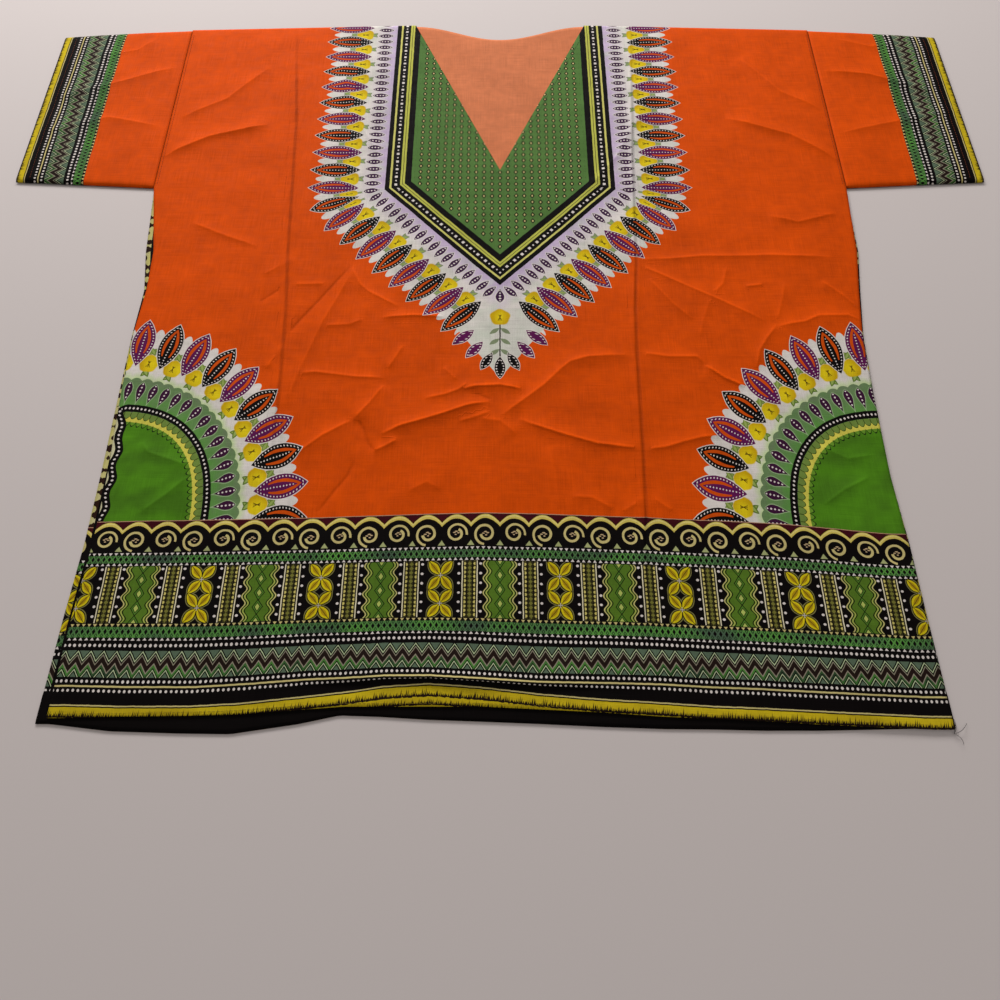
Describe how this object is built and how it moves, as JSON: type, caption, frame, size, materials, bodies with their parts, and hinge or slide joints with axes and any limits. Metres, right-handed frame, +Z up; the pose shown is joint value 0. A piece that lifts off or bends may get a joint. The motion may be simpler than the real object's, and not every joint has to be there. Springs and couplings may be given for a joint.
{
  "type": "dashiki shirt laid flat",
  "caption": "Loose V-necked dashiki shirt with short wide sleeves, laid flat on its back with the front uppermost.",
  "frame": {"origin": "under the middle of the laid shirt, on the surface it lies on", "axes": "+X across the shirt to the right as seen from the hem, +Y from the hem to the neck, +Z up off the surface"},
  "size_m": [0.9726, 0.7648, 0.0097],
  "materials": {
    "printed_cotton": "plain-woven printed cotton with a soft dressed sheen",
    "printed_cotton_inside_out": "plain-woven printed cotton, the print paler on the inside",
    "sewing_thread": "spun sewing thread"
  },
  "bodies": {
    "root": {"back_panel": "printed_cotton_inside_out", "front_panel": "printed_cotton", "left_sleeve": "printed_cotton", "right_sleeve": "printed_cotton"}
  },
  "joints": []
}
